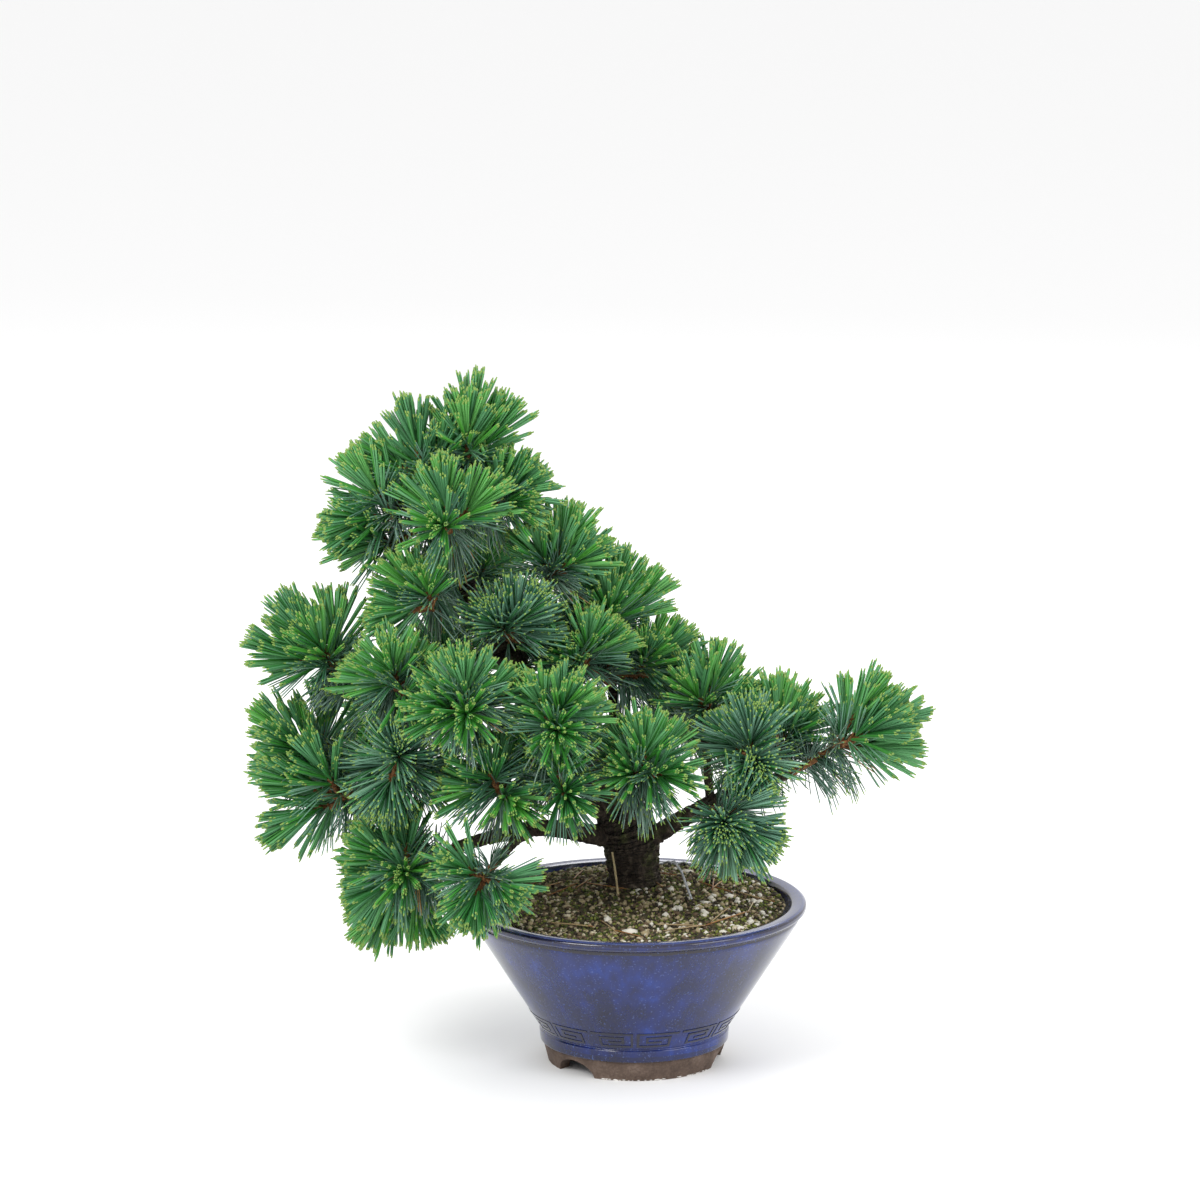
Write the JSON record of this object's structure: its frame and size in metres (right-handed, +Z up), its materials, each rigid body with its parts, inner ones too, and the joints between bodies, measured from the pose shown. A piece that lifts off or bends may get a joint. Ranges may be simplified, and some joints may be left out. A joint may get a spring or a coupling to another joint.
{
  "type": "potted japanese white pine bonsai",
  "caption": "Small white pine bonsai with a leaning trunk and full needle tufts, in a round blue-glazed bowl pot on a clay foot ring.",
  "frame": {"origin": "middle of the bounding box on the ground plane", "axes": "+Z up, +Y to the back, X across the width; the long low bough reaches to +X"},
  "size_m": [0.395, 0.2596, 0.4071],
  "materials": {
    "glaze": "glossy deep blue glaze with fine streaks",
    "bare_clay": "unglazed brown clay, matte",
    "gravel_soil": "fine gravel with moss",
    "bark": "flaky dark bark",
    "needles": "green needles, satin",
    "grey_wire": "dull grey wire"
  },
  "bodies": {
    "root": {"bough_back_high": "bark", "bough_back_left": "bark", "bough_back_low": "bark", "bough_back_right": "bark", "bough_front_high": "bark", "bough_front_left": "bark", "bough_front_low": "bark", "bough_front_mid": "bark", "bough_high_left": "bark", "bough_low_left": "bark", "bough_mid_left": "bark", "bough_over_rim": "bark", "bough_right": "bark", "bough_right_low": "bark", "bough_right_up": "bark", "bough_rise": "bark", "bough_upper_right": "bark", "foot_ring": "bare_clay", "mass_back_high": "needles", "mass_back_left": "needles", "mass_back_left_up": "needles", "mass_back_low": "needles", "mass_back_mid": "needles", "mass_back_right": "needles", "mass_crown_back": "needles", "mass_crown_far_left": "needles", "mass_crown_front": "needles", "mass_crown_left": "needles", "mass_crown_low_left": "needles", "mass_crown_right": "needles", "mass_front_centre": "needles", "mass_front_high": "needles", "mass_front_left": "needles", "mass_front_mid": "needles", "mass_front_star": "needles", "mass_high_left_front": "needles", "mass_high_left_tip": "needles", "mass_left_droop": "needles", "mass_low_left": "needles", "mass_low_left_under": "needles", "mass_mid_left_low": "needles", "mass_mid_left_tip": "needles", "mass_over_rim": "needles", "mass_peak": "needles", "mass_right_low": "needles", "mass_right_mid": "needles", "mass_right_old": "needles", "mass_right_tip": "needles", "mass_right_up": "needles", "mass_rise_front": "needles", "mass_rise_side": "needles", "mass_rise_top": "needles", "mass_shoulder": "needles", "mass_upper_old": "needles", "mass_upper_right": "needles", "pot": "glaze", "soil": "gravel_soil", "tie_wire": "grey_wire", "trunk": "bark", "twisted_wire": "grey_wire"}
  },
  "joints": []
}
